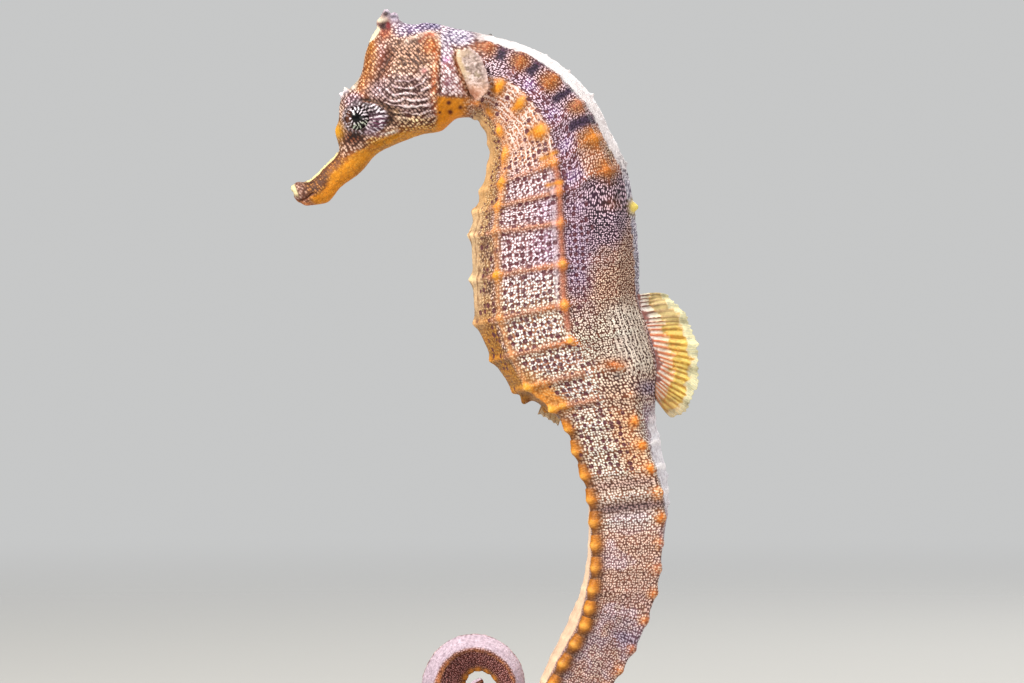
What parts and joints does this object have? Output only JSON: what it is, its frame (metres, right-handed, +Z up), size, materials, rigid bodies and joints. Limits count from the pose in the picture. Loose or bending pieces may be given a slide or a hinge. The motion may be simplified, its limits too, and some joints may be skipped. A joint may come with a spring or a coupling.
{
  "type": "seahorse model on a stand",
  "caption": "Life-size lined seahorse, upright with its tail rolled forward, held over a flat round base by two short rods.",
  "frame": {"origin": "centre of the base's underside", "axes": "+Z up; the animal faces -X, its left side faces -Y"},
  "size_m": [0.08, 0.08, 0.1375],
  "materials": {
    "skin": "satin bony-ringed skin, pale lilac net over purple-brown, orange ridges and knobs, white back line",
    "eye": "wet gloss, dark pupil with pale and dark rays",
    "dorsal_fin": "thin rayed fin, fleshy base, olive-yellow rays, whitish edge",
    "side_fin": "thin cream rayed fin",
    "stand_base": "satin black paint on aluminium",
    "stand_rod": "brushed steel rod"
  },
  "bodies": {
    "root": {"snout": "skin", "head": "skin", "gill_cover_left": "skin", "gill_cover_right": "skin", "coronet": "skin", "neck": "skin", "trunk_upper": "skin", "trunk_middle": "skin", "trunk_lower": "skin", "tail_1": "skin", "tail_2": "skin", "tail_3": "skin", "tail_4": "skin", "tail_5": "skin", "tail_6": "skin", "tail_7": "skin", "tail_8": "skin", "eye_left": "eye", "eye_right": "eye", "dorsal_fin": "dorsal_fin", "pectoral_fin_left": "side_fin", "pectoral_fin_right": "side_fin", "anal_fin": "side_fin", "stand_base": "stand_base", "stand_rod_front": "stand_rod", "stand_rod_back": "stand_rod"}
  },
  "joints": []
}
